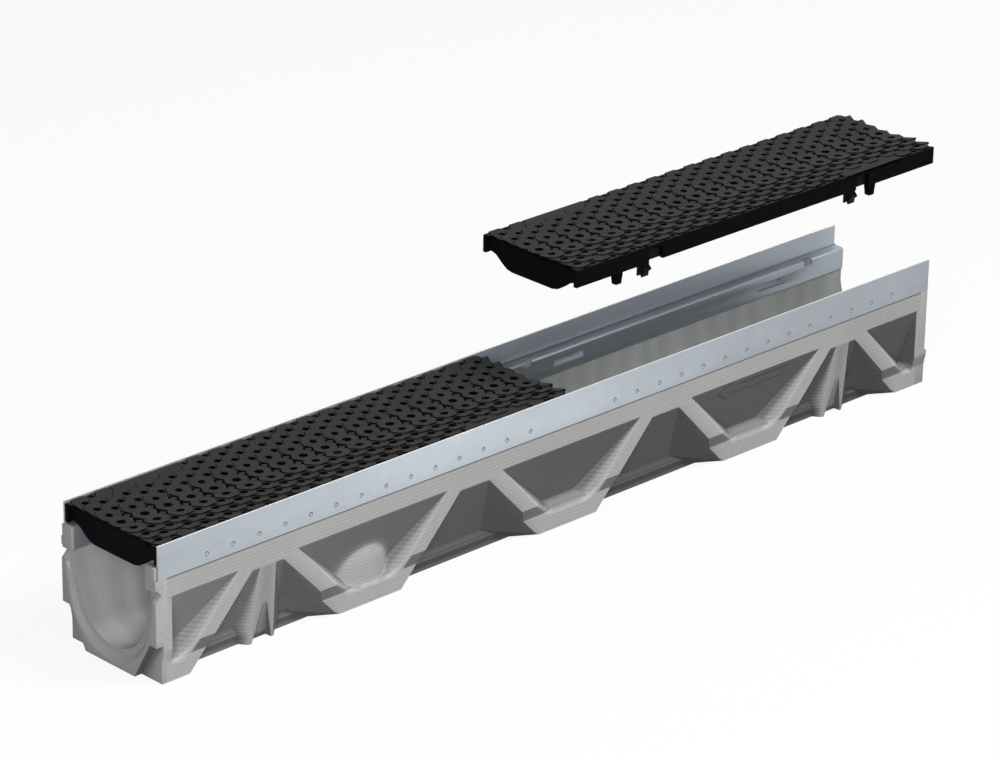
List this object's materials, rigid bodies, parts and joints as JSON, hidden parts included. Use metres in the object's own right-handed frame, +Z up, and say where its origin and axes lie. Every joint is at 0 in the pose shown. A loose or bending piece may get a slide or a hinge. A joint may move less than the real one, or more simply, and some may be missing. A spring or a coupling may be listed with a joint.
{
  "type": "drainage channel",
  "caption": "Straight concrete drainage channel with metal edge rails, round-bottomed trough, ribbed sides and perforated gratings, one set in place and one lifted above its seat.",
  "frame": {"origin": "middle of the channel's base, on the surface it lies on", "axes": "+X along the channel towards the end whose grating is lifted, -Y towards the visible long side, +Z up"},
  "size_m": [1.0067, 0.128, 0.255],
  "materials": {
    "concrete": "matte cast concrete with fine level lines",
    "galvanised": "satin galvanised sheet",
    "black_iron": "matte black coated cast iron",
    "black_plastic": "matte black"
  },
  "bodies": {
    "channel": {"channel_body": "concrete", "front_rail": "galvanised", "rear_rail": "galvanised"},
    "seated_cover": {"seated_grating": "black_iron", "seated_clip_1": "black_plastic", "seated_clip_2": "black_plastic", "seated_clip_3": "black_plastic", "seated_clip_4": "black_plastic"},
    "raised_cover": {"raised_grating": "black_iron", "raised_clip_1": "black_plastic", "raised_clip_2": "black_plastic", "raised_clip_3": "black_plastic", "raised_clip_4": "black_plastic"}
  },
  "joints": [
    {"name": "seated_cover_lift", "type": "slide", "parent": "channel", "child": "seated_cover", "axis": [0, 0, 1], "range_m": [0, 0.1214]},
    {"name": "raised_cover_lift", "type": "slide", "parent": "channel", "child": "raised_cover", "axis": [0, 0, 1], "range_m": [-0.1214, 0]}
  ]
}
